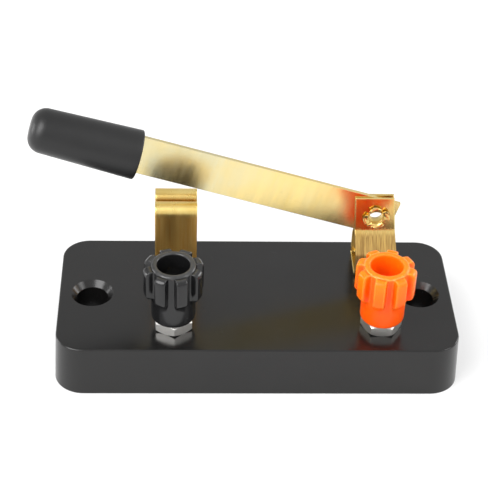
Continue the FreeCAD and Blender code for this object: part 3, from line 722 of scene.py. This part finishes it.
def eyelet():
    """The pivot's hollow rivet: a flange at the back, split and curled petals in front."""
    inner, outer, flange = EYELET_BORE, EYELET_BARREL, 3.2
    back, flange_back = 1.02, 1.47
    profile = [(inner, -0.92), (inner + 0.06, -0.99), (outer - 0.06, -0.99), (outer, -0.92),
               (outer, back), (flange - 0.1, back), (flange, back + 0.12),
               (flange - 0.04, flange_back - 0.14), (flange - 0.2, flange_back),
               (inner + 0.25, flange_back), (inner, flange_back - 0.2)]
    rows = [[on_pivot(radius, 2 * math.pi * i / EYELET_STEPS, depth)
             for i in range(EYELET_STEPS)] for radius, depth in profile]
    rows.append(rows[0])
    mesh = joined_mesh("eyelet_skin", [grid_mesh("barrel", rows)]
                       + [petal(number) for number in range(len(PETALS))])
    add_visual("eyelet_skin", mesh, materials["eyelet"], "stand", "pivot_eyelet")


eyelet()

# ---------------------------------------------------------------- handle cap


def on_blade(along, across, height):
    """A point given along the blade from the pivot, across it to the back, and up."""
    point = Vector((-along, across, height)) * MM
    return PIVOT + Matrix.Rotation(SWING, 3, "Y") @ point


def handle_cap():
    """Dipped vinyl sleeve: slightly tapered, round nose, a soft thick lip at the mouth."""
    mouth, tip = 59.4, 85.2  # along the blade
    wide, slim = 5.9, 5.3  # outer radius at the mouth and at the tip
    nose, lip = 3.4, 0.38  # radius of the two roundings
    aside = -0.4  # the cap sits a little towards the front of the blade
    straight, steps = 14, 96
    outer = [(mouth + lip - lip * math.sin(a), wide - lip + lip * math.cos(a))
             for a in (math.pi * 0.5 * s / 5 for s in range(5, -1, -1))]
    for step in range(1, straight + 1):
        share = step / straight
        along = mouth + lip + (tip - nose - mouth - lip) * share
        outer.append((along, wide + (slim - wide) * share))
    slope = math.atan2(wide - slim, tip - nose - mouth)
    for step in range(1, 15):
        angle = slope + (math.pi / 2 - slope) * step / 14
        outer.append((tip - nose + nose * math.sin(angle), slim - nose + nose * math.cos(angle)))
    for step in range(1, 5):
        outer.append((tip, (slim - nose) * (1 - step / 4.0) + 0.02))
    inner = [(mouth, 5.3), (mouth + 0.15, 5.18), (mouth + 2, 5.16), (mouth + 4.3, 5.16),
             (mouth + 5.3, 4.5), (mouth + 14, 4.5), (tip - nose, 4.5), (tip - 1.2, 2.4),
             (tip - 0.8, 0.03)]
    rows = []
    for along, radius in list(reversed(inner)) + outer:
        row = []
        for i in range(steps):
            angle = 2 * math.pi * i / steps
            row.append(on_blade(along, aside + radius * math.cos(angle),
                                radius * math.sin(angle)))
        rows.append(row)
    mesh = grid_mesh("handle_cap_skin", rows, capped=True)
    add_visual("handle_cap_skin", mesh, materials["cap"], "blade_arm", "handle_cap")


handle_cap()

# -------------------------------------------------------------- floor, light

FLOOR_GLOW = 0.43
WORLD_FRONT = 0.90
WORLD_BACK = 0.71
SOFTBOX_DISTANCE = 0.8
# Each softbox: its name, its direction from the object, its side in metres, its radiance.
SOFTBOXES = [
    ("softbox_left", (-0.52, -0.42, 0.74), 0.50, 5.4),
    ("softbox_side", (-0.80, -0.60, 0.45), 0.26, 5.0),
    ("softbox_right", (0.70, -0.26, 0.62), 0.26, 5.0),
    ("softbox_back_left", (-0.95, 0.25, 0.14), 0.28, 6.0),
    ("softbox_back_right", (0.85, 0.40, 0.35), 0.30, 6.0),
]


def add_floor():
    bpy.ops.mesh.primitive_plane_add(size=6, location=(0, 0, 0))
    floor = bpy.context.object
    floor.name = "floor"
    n = Nodes("floor_paper")
    n.set(Base_Color=(0.5, 0.5, 0.5), Roughness=0.9)
    n.shader.inputs["Specular IOR Level"].default_value = 0.0
    n.shader.inputs["Emission Color"].default_value = (1, 1, 1, 1)
    n.shader.inputs["Emission Strength"].default_value = FLOOR_GLOW
    floor.data.materials.append(n.material)


def add_softbox(name, direction, size, radiance):
    data = bpy.data.lights.new(name, "AREA")
    data.size = size
    data.energy = radiance * math.pi * size * size
    light = bpy.data.objects.new(name, data)
    away = Vector(direction).normalized()
    turn = (-away).to_track_quat("-Z", "Y").to_matrix().to_4x4()
    light.matrix_world = Matrix.Translation(away * SOFTBOX_DISTANCE) @ turn
    scene.collection.objects.link(light)


def add_world():
    """Pale studio light, a little dimmer behind the object."""
    world = bpy.data.worlds.new("studio")
    world.use_nodes = True
    tree = world.node_tree
    direction = tree.nodes.new("ShaderNodeTexCoord")
    parts = tree.nodes.new("ShaderNodeSeparateXYZ")
    fade = tree.nodes.new("ShaderNodeMapRange")
    tree.links.new(direction.outputs["Generated"], parts.inputs[0])
    tree.links.new(parts.outputs["Y"], fade.inputs["Value"])
    fade.inputs["From Min"].default_value = 0.0
    fade.inputs["From Max"].default_value = 1.0
    fade.inputs["To Min"].default_value = WORLD_FRONT
    fade.inputs["To Max"].default_value = WORLD_BACK
    background = tree.nodes["Background"]
    background.inputs["Color"].default_value = (1, 1, 1, 1)
    tree.links.new(fade.outputs[0], background.inputs["Strength"])
    scene.world = world


add_floor()
add_world()
for softbox in SOFTBOXES:
    add_softbox(*softbox)
